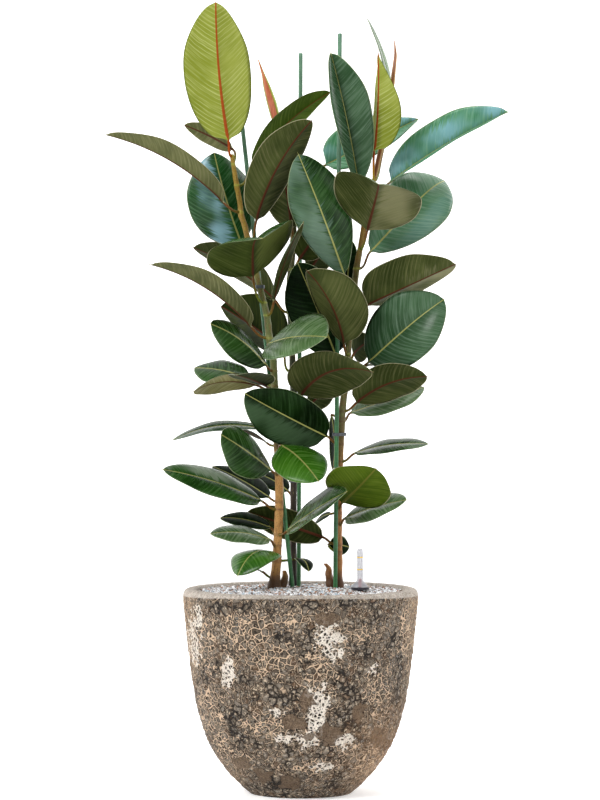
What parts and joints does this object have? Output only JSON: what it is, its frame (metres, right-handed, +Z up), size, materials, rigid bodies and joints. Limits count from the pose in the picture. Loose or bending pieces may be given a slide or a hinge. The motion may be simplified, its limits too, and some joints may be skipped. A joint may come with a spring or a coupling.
{
  "type": "potted rubber plant",
  "caption": "Tall bushy rubber plant with staked stems and large leathery oval leaves, in a round-bellied planter of rough lava glaze with a gravel topping and a water gauge.",
  "frame": {"origin": "middle of the planter's flat underside, on the floor", "axes": "+Z up, +X to the right as seen from the front, -Y towards the viewer"},
  "size_m": [0.6449, 0.3711, 1.25],
  "materials": {
    "pot": "rough lava glaze",
    "soil": "moist potting mix",
    "gravel": "loose mixed grains",
    "stem": "bark",
    "leaf": "waxy leaf",
    "young_leaf": "waxy young leaf",
    "stick": "green stained",
    "clip": "matte",
    "bud_centre": "satin sheath",
    "bud_right": "satin sheath",
    "gauge_base": "matte",
    "gauge_tube": "clear plastic",
    "gauge_float": "gloss"
  },
  "bodies": {
    "root": {"bud_centre": "bud_centre", "bud_right": "bud_right", "gauge_base": "gauge_base", "gauge_float": "gauge_float", "gauge_tube": "gauge_tube", "gravel": "gravel", "leaf_centre_01": "leaf", "leaf_centre_03": "leaf", "leaf_centre_05": "leaf", "leaf_centre_06": "leaf", "leaf_centre_07": "leaf", "leaf_centre_08": "leaf", "leaf_centre_09": "leaf", "leaf_centre_10": "leaf", "leaf_centre_11": "leaf", "leaf_left_01": "young_leaf", "leaf_left_02": "leaf", "leaf_left_04": "leaf", "leaf_left_05": "leaf", "leaf_left_06": "leaf", "leaf_left_08": "leaf", "leaf_left_10": "leaf", "leaf_left_11": "leaf", "leaf_left_13": "leaf", "leaf_left_14": "leaf", "leaf_left_16": "leaf", "leaf_left_17": "leaf", "leaf_left_19": "leaf", "leaf_left_22": "leaf", "leaf_left_24": "leaf", "leaf_left_26": "leaf", "leaf_left_27": "leaf", "leaf_left_29": "leaf", "leaf_right_01": "leaf", "leaf_right_02": "young_leaf", "leaf_right_03": "leaf", "leaf_right_04": "leaf", "leaf_right_05": "leaf", "leaf_right_07": "leaf", "leaf_right_08": "leaf", "leaf_right_09": "leaf", "leaf_right_10": "leaf", "leaf_right_12": "leaf", "leaf_right_13": "leaf", "leaf_right_14": "leaf", "leaf_right_16": "leaf", "pot": "pot", "soil": "soil", "stake_centre": "stick", "stake_left": "stick", "stake_right": "stick", "stem_centre": "stem", "stem_left": "stem", "stem_right": "stem", "tie_centre_high": "clip", "tie_centre_low": "clip", "tie_left": "clip", "tie_right": "clip"}
  },
  "joints": []
}
